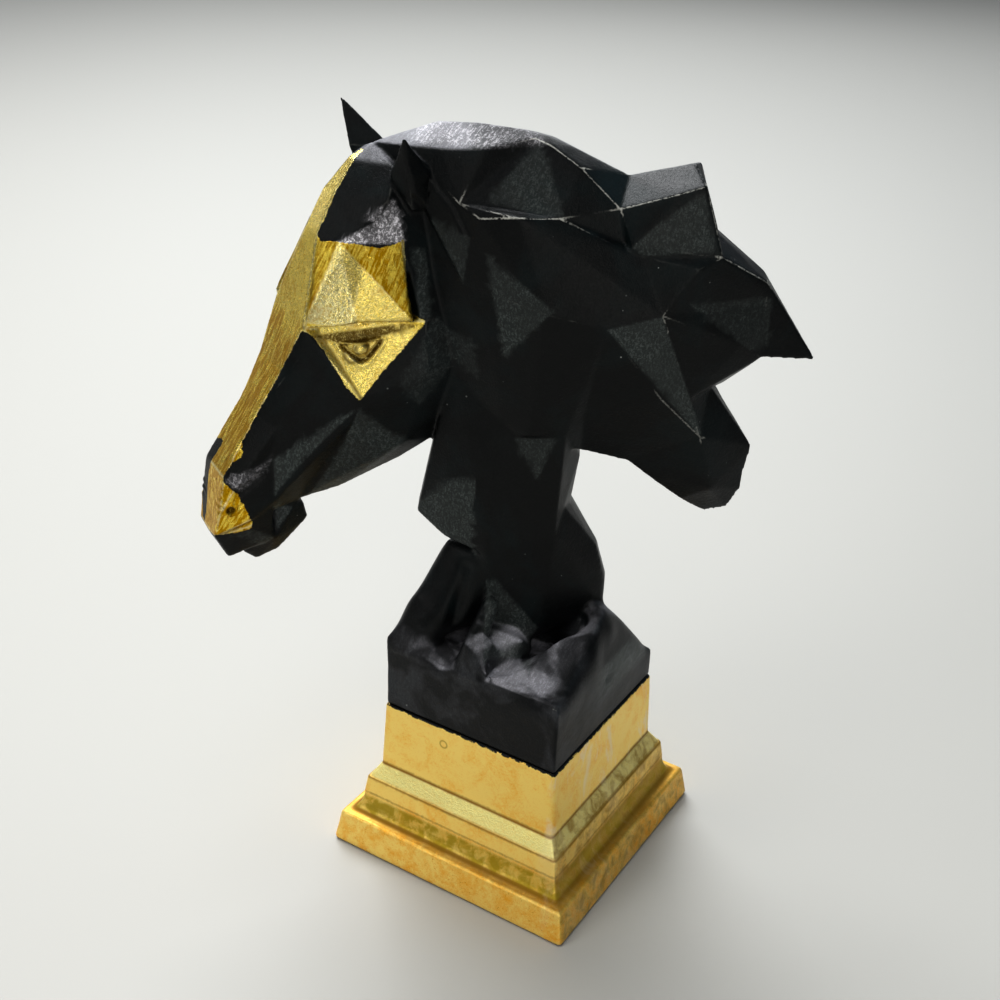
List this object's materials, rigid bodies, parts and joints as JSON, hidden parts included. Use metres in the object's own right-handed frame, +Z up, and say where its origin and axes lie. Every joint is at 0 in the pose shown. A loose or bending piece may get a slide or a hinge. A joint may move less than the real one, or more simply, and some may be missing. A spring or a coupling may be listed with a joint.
{
  "type": "horse head sculpture",
  "caption": "Faceted horse head with a swept-back mane on a rock, cast in black with a gold face, built together with its stepped square gold plinth.",
  "frame": {"origin": "middle of the plinth's flat underside", "axes": "+Z up; X and Y square to the plinth's sides; the neck faces (-0.87, -0.5) and the head is turned a further 30 degrees to its left, towards -Y"},
  "size_m": [0.1882, 0.1542, 0.3186],
  "materials": {
    "black_lacquer": "black lacquer over cast resin, satin with a brushed grain and worn pale edges, the face picked out in wrinkled gold leaf",
    "gold_paint": "antique gold paint over cast resin, satin, browner in the hollows"
  },
  "bodies": {
    "root": {"horse_head": "black_lacquer", "plinth": "gold_paint"}
  },
  "joints": []
}
